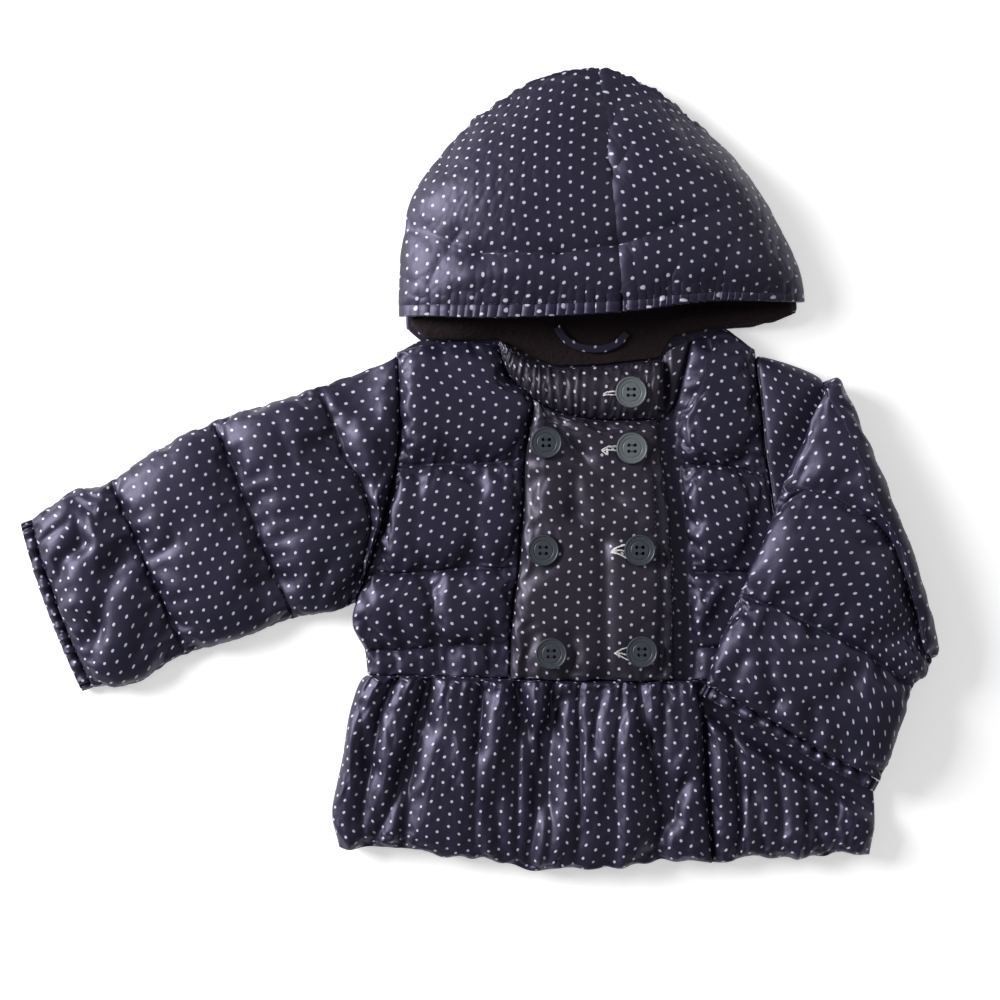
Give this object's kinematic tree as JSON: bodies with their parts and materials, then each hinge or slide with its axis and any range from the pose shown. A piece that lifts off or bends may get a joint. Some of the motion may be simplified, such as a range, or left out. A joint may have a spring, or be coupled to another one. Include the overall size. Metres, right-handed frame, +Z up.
{
  "type": "child's hooded puffer coat laid flat",
  "caption": "Small child's hooded double-breasted puffer coat laid flat face up, one sleeve stretched out and one folded over the front, gathered skirt hem.",
  "frame": {"origin": "centre of the coat's box at the surface that it lies on", "axes": "+Z up from the surface, +Y from the hem to the hood, +X to the wearer's left, which is the viewer's right"},
  "size_m": [0.588, 0.5129, 0.0399],
  "materials": {
    "shell": "shiny navy woven polyester with small white dots, padded",
    "panel_shell": "the same cloth, a little greyer, padded, not quilted",
    "fleece": "dark brown-black fleece pile",
    "button": "dark slate-grey moulded plastic with a satin surface"
  },
  "bodies": {
    "root": {"back": "shell", "front_right_side": "shell", "front_right_panel": "panel_shell", "front_left": "shell", "peplum_right": "shell", "peplum_left": "shell", "peplum_back": "shell", "collar_right": "panel_shell", "collar_left": "panel_shell", "hanger_loop": "shell", "hood_right": "shell", "hood_left": "shell", "hood_lining": "fleece", "sleeve_right": "shell", "sleeve_left": "shell", "cuff_right": "shell", "cuff_left": "shell", "button_1": "button", "button_2": "button", "button_3": "button", "button_4": "button", "button_5": "button", "button_6": "button", "button_7": "button"}
  },
  "joints": []
}
